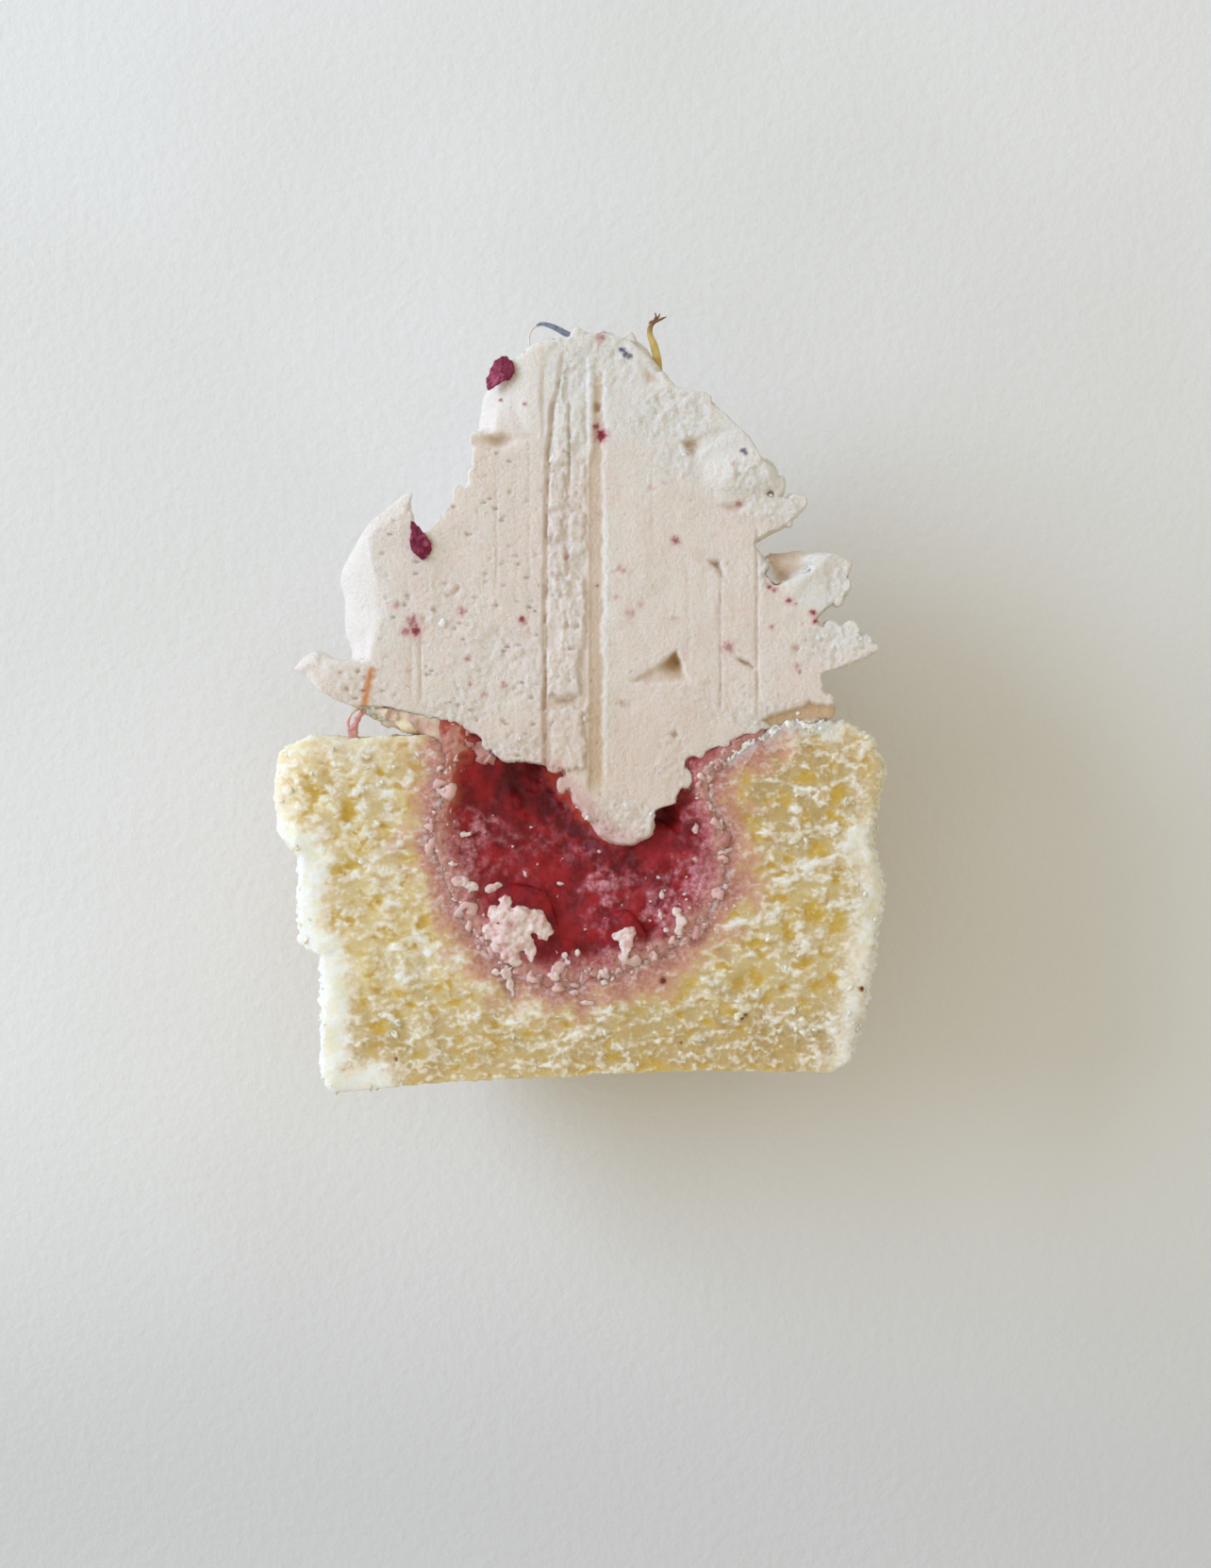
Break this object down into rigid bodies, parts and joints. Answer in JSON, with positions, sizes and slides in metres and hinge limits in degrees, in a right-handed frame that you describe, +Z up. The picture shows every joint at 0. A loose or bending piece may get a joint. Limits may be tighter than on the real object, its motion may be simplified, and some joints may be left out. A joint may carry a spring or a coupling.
{
  "type": "half cupcake",
  "caption": "Filled cupcake cut down through its middle and lying on its round back, cut face up: sponge, a bowl of jam and piped buttercream.",
  "frame": {"origin": "centre of the underside, on the surface that the half lies on", "axes": "+Y along the cupcake's own axis from its base to the top of the cream, +Z up out of the cut face, +X to the right as seen looking down on the cut face with the cream at the top"},
  "size_m": [0.0686, 0.0868, 0.0338],
  "materials": {
    "sponge": "matte",
    "jam": "gloss",
    "cream": "satin"
  },
  "bodies": {
    "root": {"sponge": "sponge", "jam": "jam", "cream": "cream"}
  },
  "joints": []
}
